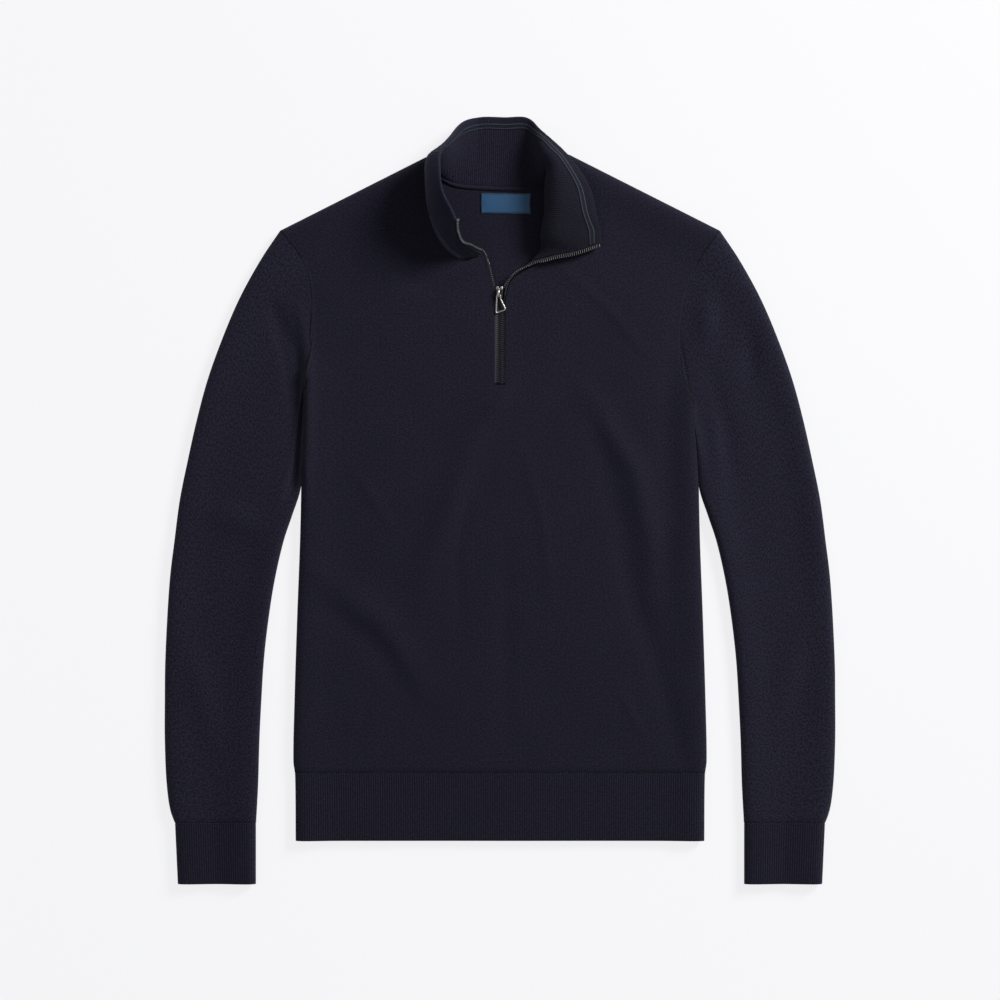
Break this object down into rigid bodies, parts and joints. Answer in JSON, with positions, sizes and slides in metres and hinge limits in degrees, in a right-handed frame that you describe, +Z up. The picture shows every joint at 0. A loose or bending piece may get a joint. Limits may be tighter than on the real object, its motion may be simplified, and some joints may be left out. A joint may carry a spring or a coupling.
{
  "type": "quarter zip sweater",
  "caption": "Fine knit quarter zip sweater laid flat, with ribbed stand collar turned open, ribbed cuffs and hem, and a zip pull that lifts.",
  "frame": {"origin": "middle of the outline, on the surface that the sweater lies on", "axes": "+X to the wearer's left, +Y from hem to collar, +Z up from the surface"},
  "size_m": [0.6894, 0.7889, 0.0646],
  "materials": {
    "knit": "fine navy birdseye knit, matt with a slight nap",
    "rib_knit": "navy one by one rib",
    "binding": "woven tape with two paler edges",
    "label": "woven satin label, bare",
    "zip_tape": "herringbone zip tape",
    "zip_metal": "antique nickel, lightly worn"
  },
  "bodies": {
    "garment": {"back_panel": "knit", "front_panel": "knit", "sleeve_right": "knit", "cuff_right": "rib_knit", "sleeve_left": "knit", "cuff_left": "rib_knit", "hem_rib": "rib_knit", "collar": "rib_knit", "collar_binding": "binding", "neck_label": "label", "zip_tape_right": "zip_tape", "zip_teeth_right": "zip_metal", "zip_tape_left": "zip_tape", "zip_teeth_left": "zip_metal", "zip_chain": "zip_metal", "zip_slider": "zip_metal"},
    "pull_tab": {"zip_pull": "zip_metal"}
  },
  "joints": [
    {"name": "pull_lift", "type": "hinge", "parent": "garment", "child": "pull_tab", "pos_m": [-0.0014, 0.2103, 0.00988], "axis": [-1, 0, 0], "range_deg": [0, 150]}
  ]
}
